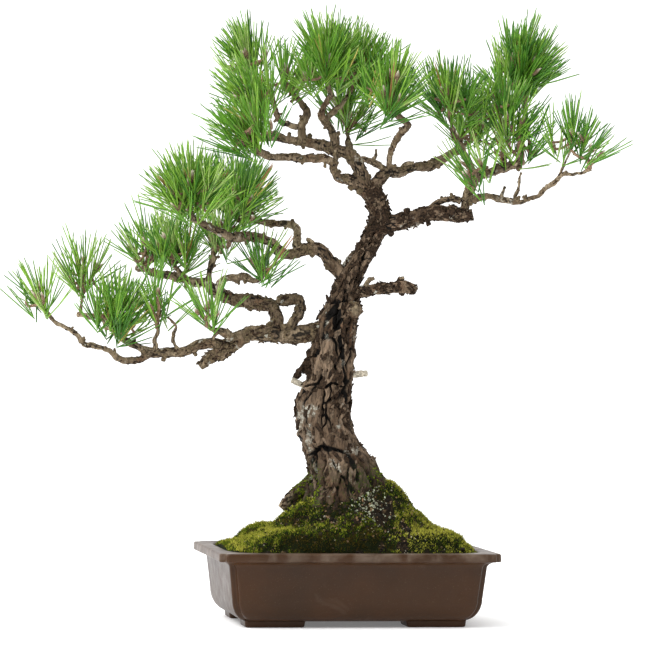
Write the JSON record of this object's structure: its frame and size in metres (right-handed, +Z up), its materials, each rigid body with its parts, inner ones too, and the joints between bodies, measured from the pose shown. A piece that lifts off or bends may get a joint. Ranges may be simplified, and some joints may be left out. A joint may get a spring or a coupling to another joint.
{
  "type": "japanese black pine bonsai",
  "caption": "Potted black pine bonsai: leaning trunk with flared foot, winding bare boughs ending in open tufts of needles, mossy heaped soil, rectangular unglazed pot.",
  "frame": {"origin": "middle of the bounding box at the level of the pot's underside", "axes": "+Z up; +X along the pot's long side, to the right as seen from the front; +Y to the back"},
  "size_m": [0.7274, 0.38, 0.7344],
  "materials": {
    "pot": "matte, unglazed brown stoneware, slightly greyer on the rim",
    "soil": "rough, dark grit and humus",
    "moss": "matte, soft olive and yellow-green moss",
    "bark": "rough, plated grey-brown bark",
    "deadwood": "matte, weathered and bleached wood",
    "foliage": "satin, bright green needles"
  },
  "bodies": {
    "root": {"dead_stub": "deadwood", "far_left_back_limb": "bark", "far_left_crest": "foliage", "far_left_front_limb": "bark", "far_left_middle": "foliage", "far_left_tip": "foliage", "far_right_tip": "foliage", "far_right_up": "foliage", "foot_back_left": "pot", "foot_back_right": "pot", "foot_front_left": "pot", "foot_front_right": "pot", "left_back": "foliage", "left_curl_tip": "foliage", "left_fork": "foliage", "left_inner": "foliage", "left_riser_tip": "foliage", "left_twig": "foliage", "low_left_bough": "bark", "low_left_strand": "bark", "mid_left_bough": "bark", "mid_left_curl": "bark", "mid_left_riser": "bark", "moss_front_left": "moss", "moss_right": "moss", "pot": "pot", "right_back": "foliage", "right_back_limb": "bark", "right_bough": "bark", "right_crest": "foliage", "right_front_limb": "bark", "right_inner": "foliage", "right_low": "foliage", "right_middle": "foliage", "right_riser": "bark", "right_side": "foliage", "right_strand": "bark", "second_left_back": "foliage", "second_left_back_limb": "bark", "second_left_bough": "bark", "second_left_front": "foliage", "second_left_middle": "foliage", "soil": "soil", "top_left_back": "foliage", "top_left_back_bough": "bark", "top_left_crest": "foliage", "top_left_front": "foliage", "top_left_front_bough": "bark", "top_left_high_limb": "bark", "top_left_inner": "foliage", "top_left_riser": "bark", "top_left_side": "foliage", "top_mid_back": "foliage", "top_mid_crest": "foliage", "top_mid_inner": "foliage", "top_mid_riser": "bark", "top_right_back_bough": "bark", "top_right_front": "foliage", "top_right_front_riser": "bark", "trunk": "bark"}
  },
  "joints": []
}
